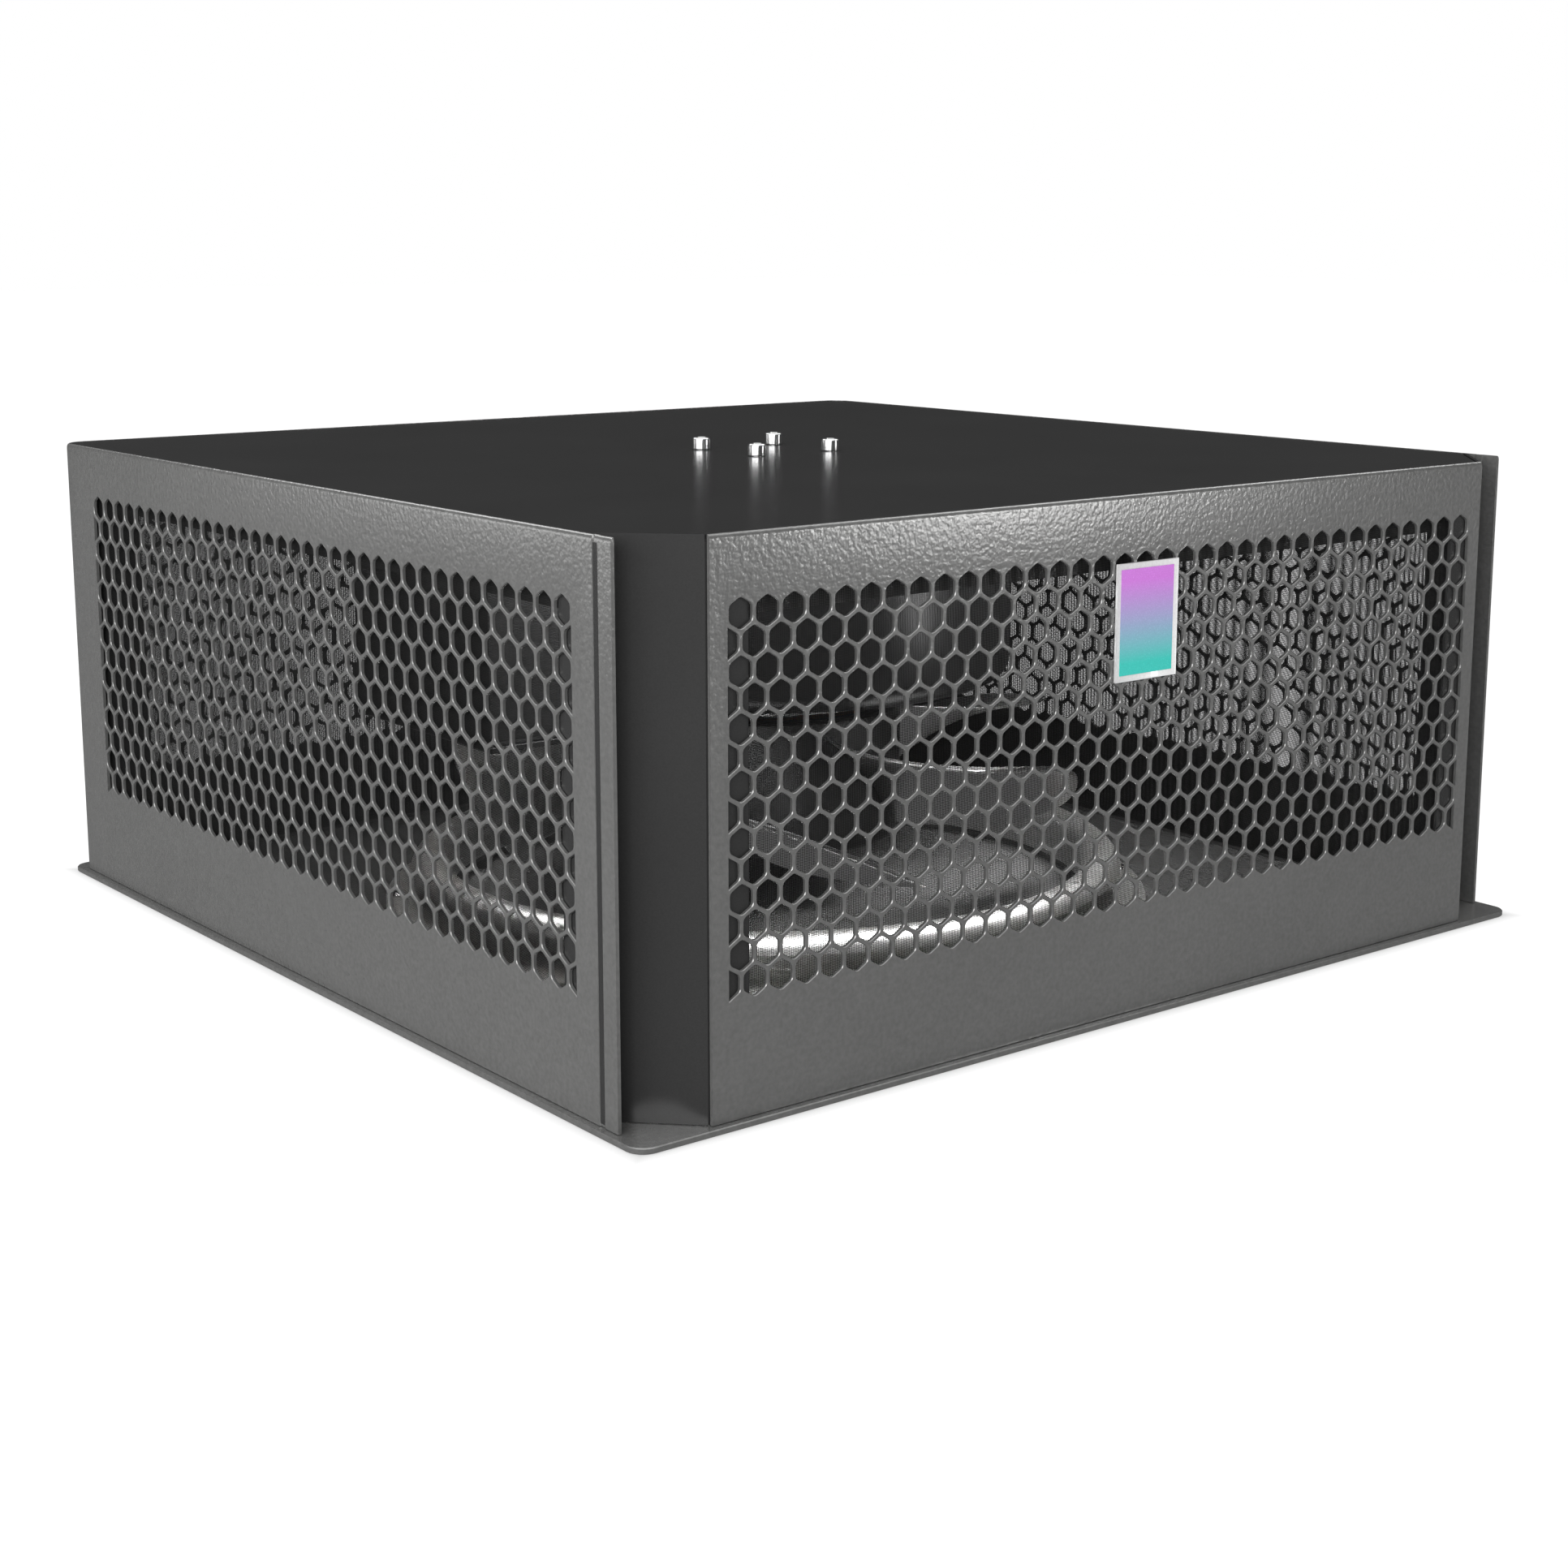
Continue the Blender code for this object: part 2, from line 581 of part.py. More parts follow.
# ---- terminal box and wiring ---------------------------------------------------------------------
def terminal_box():
    low, high = BOX_MIN, BOX_MAX
    bm = bmesh.new()
    block(bm, low, high)
    box = add("terminal_box", bm, BLACK_PLASTIC)
    wall = Vector((BOX_WALL, BOX_WALL, 0))
    bm = bmesh.new()
    block(bm, low + wall - Vector((0, 0, 0.01)), high - wall - Vector((0, 0, BOX_WALL)))
    boolean(box, add("terminal_box_inside", bm, BLACK_PLASTIC), "DIFFERENCE")
    bm = bmesh.new()
    for x in (low.x, high.x):
        place = Matrix.Translation((x, LEAD_Y, LEAD_Z)) @ Matrix.Rotation(pi / 2, 4, "Y")
        turned(bm, [(0.0, -0.006), (0.0065, -0.006), (0.0065, 0.006), (0.0, 0.006)], 20, place)
    boolean(box, add("terminal_box_entries", bm, BLACK_PLASTIC), "DIFFERENCE")

    seal_t, lid_t = 0.0015, 0.0030
    bm = bmesh.new()
    block(bm, (low.x, low.y, low.z - GAP - seal_t), (high.x, high.y, low.z - GAP))
    seal = add("terminal_box_seal", bm, RUBBER)
    bm = bmesh.new()
    inside = wall + Vector((0.001, 0.001, 0))
    block(bm, low + inside - Vector((0, 0, 0.01)), high - inside)
    boolean(seal, add("terminal_box_seal_inside", bm, RUBBER), "DIFFERENCE")

    lid_top = low.z - 2 * GAP - seal_t
    bm = bmesh.new()
    block(bm, (low.x, low.y, lid_top - lid_t), (high.x, high.y, lid_top))
    lid = add("terminal_box_lid", bm, BLACK_PLASTIC)
    bevel = lid.modifiers.new("edges", "BEVEL")
    bevel.width = 0.0008
    bevel.segments = 1

    bm = bmesh.new()
    button_screw(bm, lid_top - lid_t - GAP, (0.0034, 0.0020), 0.0016, lid_top - lid_t + 0.002, up=-1.0)
    inset = 0.007
    corners = [(x, y) for x in (low.x + inset, high.x - inset) for y in (low.y + inset, high.y - inset)]
    repeat("terminal_box_lid_screw", bm, STEEL, corners)
    drill(lid, corners, 0.0019, lid_top - lid_t - 0.001, lid_top + 0.001, 12)

    bm = bmesh.new()
    centre = (low + high) / 2
    floor = high.z - BOX_WALL - GAP
    reach = Vector((0.009, 0.030, 0.0))
    block(bm, (*(centre - reach).xy, floor - 0.016), (*(centre + reach).xy, floor))
    add("terminal_block", bm, ((0.75, 0.74, 0.70), 0.0, 0.5))


def gland(name, x, outward):
    """A hollow cable gland screwed through a wall of the terminal box."""
    bore = LEAD_R + GAP
    profile = [
        (bore, -0.006), (0.0060, -0.006), (0.0060, 0.0003), (0.0095, 0.0003), (0.0095, 0.0060),
        (0.0080, 0.0070), (0.0080, 0.0130), (0.0060, 0.0160), (bore, 0.0160),
    ]
    place = Matrix.Translation((x, LEAD_Y, LEAD_Z)) @ Matrix.Rotation(outward * pi / 2, 4, "Y")
    bm = bmesh.new()
    turned(bm, profile, 16, place)
    add(name, bm, BLACK_PLASTIC, smooth=True)


def motor_lead():
    """The short lead from the terminal box into the bell."""
    start = Vector((BOX_MAX.x - 0.004, LEAD_Y, LEAD_Z))
    end = Vector((-BELL_R + 0.012, LEAD_Y, LEAD_Z))
    curve = bpy.data.curves.new("motor_lead", "CURVE")
    curve.dimensions = "3D"
    curve.bevel_depth = LEAD_R
    curve.bevel_resolution = 2
    curve.use_fill_caps = True
    spline = curve.splines.new("POLY")
    count = 5
    spline.points.add(count - 1)
    for i, point in enumerate(spline.points):
        point.co = (*start.lerp(end, i / (count - 1)), 1.0)
    lead = bpy.data.objects.new("motor_lead", curve)
    bpy.context.scene.collection.objects.link(lead)
    lead.data.materials.append(material("motor_lead_finish", *RUBBER))


def earth_stud():
    x, y = 0.205, 0.205
    low = BASE_T + GAP
    bm = bmesh.new()
    turned(bm, [(0.0, low), (0.0055, low), (0.0055, low + 0.0012), (0.0030, low + 0.0012),
                (0.0030, low + 0.0150), (0.0, low + 0.0150)], 16, Matrix.Translation((x, y, 0)))
    add("earth_stud", bm, STEEL, smooth=True)
    bm = bmesh.new()
    nut_low = low + 0.0012 + GAP
    hex_nut(bm, 0.0058, 0.0035, nut_low, nut_low + 0.005)
    add("earth_nut", bm, STEEL).location = (x, y, 0.0)


# ---- assembly ----------------------------------------------------------------------------------
clear_scene()
base_plate()
wrap_panel()
front_panel()
corner_post("corner_post_left", 1.0)
corner_post("corner_post_right", -1.0)
top_plate()
insect_screen()
badge()
inlet_ring()
motor_mounting()
stator()
rotor()
terminal_box()
gland("supply_gland", BOX_MIN.x, -1.0)
gland("motor_gland", BOX_MAX.x, 1.0)
motor_lead()
earth_stud()
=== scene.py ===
"""Looks for the square ventilation fan: punched honeycomb sheets, smooth inner pieces, and a studio.

Metres, +Z up, in the CAD part's frame. Sizes come from the frame's boxes wherever they can.
"""

import json
from math import cos, hypot, pi, radians, sin, sqrt

import bmesh
import bpy
from mathutils import Matrix, Vector


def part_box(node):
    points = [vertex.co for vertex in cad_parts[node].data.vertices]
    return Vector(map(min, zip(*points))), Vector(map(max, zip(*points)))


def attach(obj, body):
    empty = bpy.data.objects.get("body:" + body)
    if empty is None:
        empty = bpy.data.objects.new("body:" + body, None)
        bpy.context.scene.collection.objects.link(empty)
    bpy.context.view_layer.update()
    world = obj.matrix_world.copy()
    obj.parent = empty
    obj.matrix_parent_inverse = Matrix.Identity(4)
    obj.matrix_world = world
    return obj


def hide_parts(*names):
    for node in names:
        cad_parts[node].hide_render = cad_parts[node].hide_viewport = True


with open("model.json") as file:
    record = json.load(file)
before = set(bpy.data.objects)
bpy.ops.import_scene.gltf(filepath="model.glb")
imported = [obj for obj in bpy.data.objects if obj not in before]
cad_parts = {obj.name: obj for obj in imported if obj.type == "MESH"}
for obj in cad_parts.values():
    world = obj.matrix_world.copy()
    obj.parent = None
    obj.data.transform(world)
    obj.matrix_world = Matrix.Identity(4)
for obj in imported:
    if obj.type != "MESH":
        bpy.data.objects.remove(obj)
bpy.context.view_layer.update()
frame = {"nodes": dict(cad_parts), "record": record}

# ---- driving dimensions ------------------------------------------------------------------------
SHEET = 0.0015  # thickness of the punched sheets
PITCH = 0.01203  # distance between honeycomb cells along a row
HOLE = 0.865  # a hole's size as a share of its cell
HOLE_CORNER = 0.20  # how far a hole's rounded corners reach along its sides, as a share of its radius
CORNER_PULL = 0.27  # how far the middle of such a corner is drawn in, as a share of that reach
EDGE_BREAK = 0.00028  # small chamfer round each hole
RIM_ROUND = 0.0022  # height of the rounded fold along the panels' top edges
RIM_STEPS = 5
COLUMNS = 35
ROWS = 14
TOP_ROW_DROP = 0.0289  # from the rim down to the centres of the top row
BEND = 0.013  # outside radius of the rear bends
BEND_STEPS = 10
FOLD = 0.0240  # from the cabinet's front back to the middle of the pressed fold line
FOLD_WIDTH = 0.0036
FOLD_DEPTH = 0.0006
FOLD_WALL = 0.0003  # how far each wall of the fold line leans
SHADE_STRIP = 0.00035  # thickness of the dark strip of painted shade above the bottom of the fold line
FLANGE = 0.012  # how far the panels' flanges reach inward
FLANGE_END = 0.052  # from the cabinet's front corners to the ends of the flanges
RETURN_LOW = 0.1870  # the upper flanges turn down again to this height
INLET_R = 0.160  # radius of the hole in the base plate
TOUCH = 0.0001  # the flanges run this far into their sheet, and the rim keeps this much flat

CELL_R = PITCH / sqrt(3)
ROW_PITCH = 1.5 * CELL_R
FIELD = COLUMNS * PITCH / 2

front_low, front_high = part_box("front_panel")
wrap_low, wrap_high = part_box("wrap_panel")
top_low, top_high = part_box("top_plate")
base_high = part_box("base_plate")[1]
HALF = wrap_high.x
RIM = wrap_high.z
PANEL_LOW = wrap_low.z
FLANGE_TOP = top_low.z - 0.0003  # the lid lies this close above the flanges


# ---- mesh helpers --------------------------------------------------------------------------------
def new_object(name, mesh, finish, smooth=None):
    if smooth is not None:
        mesh.shade_smooth()
        mesh.set_sharp_from_angle(angle=radians(smooth))
    obj = bpy.data.objects.new(name, mesh)
    bpy.context.scene.collection.objects.link(obj)
    obj.data.materials.append(finish)
    return obj


def from_bmesh(name, bm, finish, smooth=None):
    bmesh.ops.recalc_face_normals(bm, faces=bm.faces)
    mesh = bpy.data.meshes.new(name)
    bm.to_mesh(mesh)
    bm.free()
    return new_object(name, mesh, finish, smooth)


def stand_for(obj, body, slot, *nodes):
    """obj is shown in place of these CAD nodes and moves with a body; the slot argument is not used."""
    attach(obj, body)
    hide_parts(*nodes)
    return obj


def turned(bm, profile, segments=128, matrix=Matrix.Identity(4)):
    """Adds the solid swept by a closed (radius, height) profile about the Z axis."""
    rings = []
    for radius, height in profile:
        count = segments if radius > 1e-7 else 1
        angles = [2 * pi * k / segments for k in range(count)]
        points = [Vector((radius * cos(a), radius * sin(a), height)) for a in angles]
        rings.append([bm.verts.new(matrix @ p) for p in points])
    for ring, other in zip(rings, rings[1:] + rings[:1]):
        if len(ring) == 1 and len(other) == 1:
            continue
        for k in range(segments):
            n = (k + 1) % segments
            corners = [ring[k % len(ring)], ring[n % len(ring)]]
            corners += [other[n % len(other)], other[k % len(other)]]
            bm.faces.new(list(dict.fromkeys(corners)))


def box_corners(bm, low, high):
    """Adds a box between two opposite corners."""
    (x0, y0, z0), (x1, y1, z1) = low, high
    rings = []
    for z in (z0, z1):
        rings.append([bm.verts.new(p) for p in ((x0, y0, z), (x1, y0, z), (x1, y1, z), (x0, y1, z))])
    bottom, top = rings
    bm.faces.new(bottom[::-1])
    bm.faces.new(top)
    for i in range(4):
        j = (i + 1) % 4
        bm.faces.new((bottom[i], bottom[j], top[j], top[i]))


def bevelled(bm, width, segments=2, angle=30):
    """Rounds the edges that are sharper than an angle."""
    sharp = [e for e in bm.edges if len(e.link_faces) == 2 and e.calc_face_angle(0) > radians(angle)]
    bmesh.ops.bevel(bm, geom=sharp, offset=width, segments=segments, profile=0.5, affect="EDGES")


# ---- materials -----------------------------------------------------------------------------------
class Finish:
    """Builds one procedural material, with object coordinates in metres."""

    def __init__(self, name, metallic, coat=0.0):
        self.material = bpy.data.materials.new(name)
        self.material.use_nodes = True
        self.tree = self.material.node_tree
        self.shader = self.tree.nodes["Principled BSDF"]
        self.shader.inputs["Metallic"].default_value = metallic
        self.shader.inputs["Coat Weight"].default_value = coat
        self.coords = self.tree.nodes.new("ShaderNodeTexCoord").outputs["Object"]

    def noise(self, scale, detail=3.0, stretch=(1, 1, 1)):
        mapping = self.tree.nodes.new("ShaderNodeMapping")
        mapping.inputs["Scale"].default_value = stretch
        self.tree.links.new(self.coords, mapping.inputs["Vector"])
        node = self.tree.nodes.new("ShaderNodeTexNoise")
        node.inputs["Scale"].default_value = scale
        node.inputs["Detail"].default_value = detail
        self.tree.links.new(mapping.outputs["Vector"], node.inputs["Vector"])
        return node.outputs["Fac"]

    def spangle(self, scale):
        """The patchwork of crystals on zinc: one grey value for each cell."""
        node = self.tree.nodes.new("ShaderNodeTexVoronoi")
        node.inputs["Scale"].default_value = scale
        self.tree.links.new(self.coords, node.inputs["Vector"])
        split = self.tree.nodes.new("ShaderNodeSeparateColor")
        self.tree.links.new(node.outputs["Color"], split.inputs["Color"])
        return split.outputs["Red"]

    def ramp(self, value, low, high, start=0.3, end=0.7):
        """Colours from low to high as a value goes from start to end."""
        node = self.tree.nodes.new("ShaderNodeValToRGB")
        node.color_ramp.elements[0].position = start
        node.color_ramp.elements[1].position = end
        node.color_ramp.elements[0].color = (*low, 1.0)
        node.color_ramp.elements[1].color = (*high, 1.0)
        self.tree.links.new(value, node.inputs["Fac"])
        return node.outputs["Color"]

    def multiply(self, first, second):
        node = self.tree.nodes.new("ShaderNodeMix")
        node.data_type = "RGBA"
        node.blend_type = "MULTIPLY"
        node.inputs[0].default_value = 1.0
        self.tree.links.new(first, node.inputs[6])
        self.tree.links.new(second, node.inputs[7])
        return node.outputs[2]

    def colour(self, socket):
        self.tree.links.new(socket, self.shader.inputs["Base Color"])

    def roughness(self, value, low, high):
        node = self.tree.nodes.new("ShaderNodeMapRange")
        node.inputs["To Min"].default_value = low
        node.inputs["To Max"].default_value = high
        self.tree.links.new(value, node.inputs["Value"])
        self.tree.links.new(node.outputs["Result"], self.shader.inputs["Roughness"])

    def bump(self, value, distance, strength=1.0):
        node = self.tree.nodes.new("ShaderNodeBump")
        node.inputs["Strength"].default_value = strength
        node.inputs["Distance"].default_value = distance
        self.tree.links.new(value, node.inputs["Height"])
        self.tree.links.new(node.outputs["Normal"], self.shader.inputs["Normal"])


def grey(value, tint=(1.0, 1.0, 1.0)):
    """A grey of a linear value, or a tinted one."""
    return tuple(value * t for t in tint)


def sheet_metal(name, level, metallic, rough, sparkle, crystals=0.03):
    """Painted or galvanised sheet: faint crystals, a fine raised grain and a soft unevenness."""
    f = Finish(name, metallic)
    warm = (1.0, 1.0, 0.985)
    patches = f.ramp(f.spangle(260), grey(1 - crystals), grey(1 + crystals), 0.0, 1.0)
    clouds = f.ramp(f.noise(14), grey(level * 0.97, warm), grey(level * 1.03, warm))
    grain = f.noise(480, 1.0)
    f.colour(f.multiply(f.multiply(clouds, patches), f.ramp(grain, grey(0.93), grey(1.07))))
    f.roughness(grain, rough - 0.03, rough + 0.03)
    f.bump(grain, sparkle, 0.5)
    return f.material


def paint(name, level, rough, coat=0.0, bump=0.00002, specular=0.5):
    """Satin powder paint with a fine orange peel and slow changes of tone."""
    f = Finish(name, 0.0, coat)
    f.shader.inputs["Specular IOR Level"].default_value = specular
    grain = f.noise(1500, 2.0)
    clouds = f.ramp(f.noise(9), grey(level * 0.93), grey(level * 1.07))
    f.colour(f.multiply(clouds, f.ramp(grain, grey(0.93), grey(1.07))))
    f.roughness(f.noise(60), rough - 0.02, rough + 0.02)
    f.bump(grain, bump, 0.3)
    return f.material


def steel(name, level, rough, stretch=(1, 1, 30), tint=(1.0, 1.0, 1.0)):
    """Turned, ground or stamped metal with fine lines across its stretched direction."""
    f = Finish(name, 1.0)
    lines = f.noise(700, 2.0, stretch)
    f.colour(f.ramp(lines, grey(level * 0.88, tint), grey(level * 1.08, tint)))
    f.roughness(lines, rough - 0.05, rough + 0.06)
    f.bump(lines, 0.00001, 0.3)
    return f.material


def plastic(name, level, rough, tint=(1.0, 1.0, 1.0)):
    """Moulded plastic or rubber with a sand-blasted grain."""
    f = Finish(name, 0.0)
    grain = f.noise(1300, 3.0)
    f.colour(f.ramp(grain, grey(level * 0.85, tint), grey(level * 1.15, tint)))
    f.roughness(grain, rough - 0.06, rough + 0.06)
    f.bump(grain, 0.00004, 0.4)
    return f.material


def wound_copper():
    """Fine varnished wire laid round the axis."""
    f = Finish("copper", 0.85)
    wires = f.noise(90, 2.0, (1, 1, 22))
    f.colour(f.ramp(wires, (0.30, 0.11, 0.04), (0.72, 0.32, 0.15)))
    f.roughness(wires, 0.30, 0.50)
    f.bump(wires, 0.0003, 0.8)
    return f.material


def enamel_finish(bottom, top):
    """Glossy enamel that shades from blue-green at the bottom to violet at the top."""
    f = Finish("enamel", 0.0, coat=0.6)
    split = f.tree.nodes.new("ShaderNodeSeparateXYZ")
    f.tree.links.new(f.coords, split.inputs["Vector"])
    rise = f.tree.nodes.new("ShaderNodeMapRange")
    rise.inputs["From Min"].default_value = bottom
    rise.inputs["From Max"].default_value = top
    f.tree.links.new(split.outputs["Z"], rise.inputs["Value"])
    shade = f.ramp(rise.outputs["Result"], (0.03, 0.48, 0.42), (0.52, 0.16, 0.60), 0.15, 0.85)
    grain = f.noise(2500, 2.0)
    f.colour(f.multiply(shade, f.ramp(grain, grey(0.92), grey(1.08))))
    f.roughness(grain, 0.22, 0.30)
    return f.material


# Each finish starts with its linear grey level. Bump heights are in metres.
FINISHES = {
    "panel_grey": sheet_metal("panel_grey", 0.21, 0.6, 0.25, 0.0003),
    "dark_paint": paint("dark_paint", 0.0235, 0.23),
    "badge": paint("badge", 0.62, 0.28, coat=0.4),
    "galvanised": sheet_metal("galvanised", 0.66, 0.85, 0.38, 0.00002, 0.10),
    "fastener_steel": steel("fastener_steel", 0.72, 0.24),
    "motor_black": paint("motor_black", 0.006, 0.36, bump=0.00003, specular=0.3),
    "gauze_black": paint("gauze_black", 0.008, 0.6, specular=0.15),
    "hub_black": plastic("hub_black", 0.013, 0.45),
    "blade_metal": steel("blade_metal", 0.62, 0.34, (1, 1, 1)),
    "cast_aluminium": steel("cast_aluminium", 0.45, 0.5, (1, 1, 1)),
    "lamination": steel("lamination", 0.38, 0.4, (1, 1, 60)),
    "copper": wound_copper(),
    "bearing_steel": steel("bearing_steel", 0.65, 0.2),
    "black_plastic": plastic("black_plastic", 0.014, 0.5),
    "rubber": plastic("rubber", 0.02, 0.8),
    "white_plastic": plastic("white_plastic", 0.7, 0.45, (1.0, 0.98, 0.93)),
}


def finish_frame():
    """Gives every CAD node the finish of its slot in the record."""
    for part in frame["record"]["subparts"]:
        mesh = frame["nodes"][part["node"]].data
        mesh.materials.clear()
        mesh.materials.append(FINISHES[part["material_slot"]])


# ---- punched sheets --------------------------------------------------------------------------------
class PunchedSheet:
    """A sheet laid out flat along s and z, then folded along its path.

    place(s, z, depth) gives a point; depth runs inward from the outer face.
    """

    def __init__(self, place, low, high):
        self.place = place
        self.low = low
        self.high = high
        self.points = []
        self.faces = []
        self.shared = {}

    def vert(self, s, z, depth, push=0.0):
        key = (round(s, 7), round(z, 7), round(depth + push, 7))
        if key not in self.shared:
            self.shared[key] = len(self.points)
            self.points.append(self.place(s, z, depth + push))
        return self.shared[key]

    def face(self, *corners):
        unique = list(dict.fromkeys(corners))
        if len(unique) > 2:
            self.faces.append(unique)

    def rim(self, s, push=0.0):
        """The points across the bottom and the rounded top edge at one place along the sheet."""
        section = [(self.low, 0.0)]
        for k in range(RIM_STEPS + 1):
            a = k / RIM_STEPS * pi / 2
            section.append((self.high - RIM_ROUND * (1 - sin(a)), (SHEET - TOUCH) * (1 - cos(a))))
        section += [(self.high - RIM_ROUND, SHEET), (self.low, SHEET)]
        return [self.vert(s, z, d, push) for z, d in section]

    def edges(self, a, b, push_a=0.0, push_b=0.0):
        """The top and bottom edges between two places along the sheet."""
        here, there = self.rim(a, push_a), self.rim(b, push_b)
        for k in range(1, len(here)):
            if k != len(here) - 2:
                n = (k + 1) % len(here)
                self.face(here[k], there[k], there[n], here[n])

    def plain(self, a, b, push_a=0.0, push_b=0.0):
        """An unpunched stretch between two places along the sheet."""
        here, there = self.rim(a, push_a), self.rim(b, push_b)
        self.face(here[0], there[0], there[1], here[1])
        self.face(here[-1], here[-2], there[-2], there[-1])
        self.edges(a, b, push_a, push_b)

    def end(self, s, first):
        """Closes the sheet at its first or its last end."""
        corners = self.rim(s)
        self.face(*(corners if first else corners[::-1]))

    def cell(self, s, z, cut):
        """One cell with its hole. cut is 0 for a whole cell, or the side (-1 or 1) kept of a half one."""
        step = pi / 3
        if cut:
            angles = [pi / 2 - cut * k * step for k in range(4)]
        else:
            angles = [pi / 2 - k * step for k in range(6)]
        corners = [(s + CELL_R * cos(a), z + CELL_R * sin(a)) for a in angles]
        if cut:  # these two lie exactly on the line of the cut
            corners[0] = (s, z + CELL_R)
            corners[3] = (s, z - CELL_R)

        def loop(radius, depth):
            """The hole's outline, with rounded corners."""
            soft = HOLE_CORNER * radius
            turn = cut or 1
            groups = []
            for k, a in enumerate(angles):
                if cut and k in (0, 3):
                    groups.append([self.vert(s, z + radius * (1 if k == 0 else -1), depth)])
                    continue
                x, y = s + radius * cos(a), z + radius * sin(a)
                ends = []
                for side in (1, -1):
                    towards = a + turn * side * (pi / 2 + pi / 6)
                    ends.append(self.vert(x + soft * cos(towards), y + soft * sin(towards), depth))
                middle = radius - CORNER_PULL * soft
                centre = self.vert(s + middle * cos(a), z + middle * sin(a), depth)
                groups.append([ends[0], centre, ends[1]])
            return groups

        hole_r = CELL_R * HOLE
        outer = loop(hole_r + EDGE_BREAK, 0.0)
        lip = loop(hole_r, EDGE_BREAK)
        inner = loop(hole_r, SHEET)
        count = len(corners)
        steps = range(count) if not cut else range(count - 1)
        for depth, groups in ((0.0, outer), (SHEET, inner)):
            points = [self.vert(*c, depth) for c in corners]
            for k in range(count):
                for near, far in zip(groups[k], groups[k][1:]):
                    self.face(points[k], near, far)
            for k in steps:
                n = (k + 1) % count
                self.face(points[k], points[n], groups[n][0], groups[k][-1])
        rings = [[v for group in groups for v in group] for groups in (outer, lip, inner)]
        for above, below in zip(rings, rings[1:]):
            for k in range(len(above)):
                n = (k + 1) % len(above)
                self.face(above[k], above[n], below[n], below[k])

    def field(self, centre, left, right):
        """A honeycomb field about a centre, with the plain border that fills left to right."""
        top_row = self.high - TOP_ROW_DROP
        ends = (centre - FIELD, centre + FIELD)
        for row in range(ROWS):
            z = top_row - row * ROW_PITCH
            if row % 2 == 0:
                for k in range(COLUMNS):
                    self.cell(centre - FIELD + (k + 0.5) * PITCH, z, 0)
            else:
                for k in range(1, COLUMNS):
                    self.cell(centre - FIELD + k * PITCH, z, 0)
                self.cell(ends[0], z, 1)
                self.cell(ends[1], z, -1)
        bottom_row = top_row - (ROWS - 1) * ROW_PITCH
        for depth, radius in ((0.0, CELL_R * HOLE + EDGE_BREAK), (SHEET, CELL_R * HOLE)):
            high = self.high - RIM_ROUND
            top, bottom = [], []
            for k in range(2 * COLUMNS + 1):
                s = ends[0] + k * PITCH / 2
                top.append(self.vert(s, top_row + CELL_R * (0.5 if k % 2 == 0 else 1.0), depth))
                bottom.append(self.vert(s, bottom_row - CELL_R * (1.0 if k % 2 == 0 else 0.5), depth))
            self.face(*top, self.vert(ends[1], high, depth), self.vert(ends[0], high, depth))
            self.face(*bottom, self.vert(ends[1], self.low, depth), self.vert(ends[0], self.low, depth))
            for end, side in zip(ends, (left, right)):
                column = [self.vert(end, high, depth)]
                for row in range(ROWS):
                    z = top_row - row * ROW_PITCH
                    if row % 2 == 0:
                        levels = (CELL_R / 2, -CELL_R / 2)
                    else:
                        levels = (CELL_R, radius, -radius, -CELL_R)
                    column += [self.vert(end, z + level, depth) for level in levels]
                column.append(self.vert(end, self.low, depth))
                self.face(*column, self.vert(side, self.low, depth), self.vert(side, high, depth))
        for a, b in ((left, ends[0]), ends, (ends[1], right)):
            self.edges(a, b)

    def build(self, name):
        mesh = bpy.data.meshes.new(name)
        mesh.from_pydata(self.points, [], self.faces)
        bm = bmesh.new()
        bm.from_mesh(mesh)
        bmesh.ops.recalc_face_normals(bm, faces=bm.faces)
        bpy.data.meshes.remove(mesh)
        return bm


def front_sheet():
    """The front panel: one flat punched sheet with inward flanges."""
    sheet = PunchedSheet(lambda s, z, d: (s, -HALF + d, z), PANEL_LOW, RIM)
    left, right = front_low.x, front_high.x
    sheet.field(0.0, left, right)
    sheet.end(left, True)
    sheet.end(right, False)
    bm = sheet.build("front_sheet")
    reach = HALF - FLANGE_END
    near, far = -HALF + SHEET - TOUCH, -HALF + FLANGE
    for low in (PANEL_LOW, FLANGE_TOP - SHEET):
        box_corners(bm, (-reach, near, low), (reach, far, low + SHEET))
    box_corners(bm, (-reach, far - SHEET, RETURN_LOW), (reach, far, FLANGE_TOP - SHEET / 2))
    obj = from_bmesh("front_sheet", bm, FINISHES["panel_grey"], smooth=25)
    stand_for(obj, "housing", "panel_grey", "front_panel")


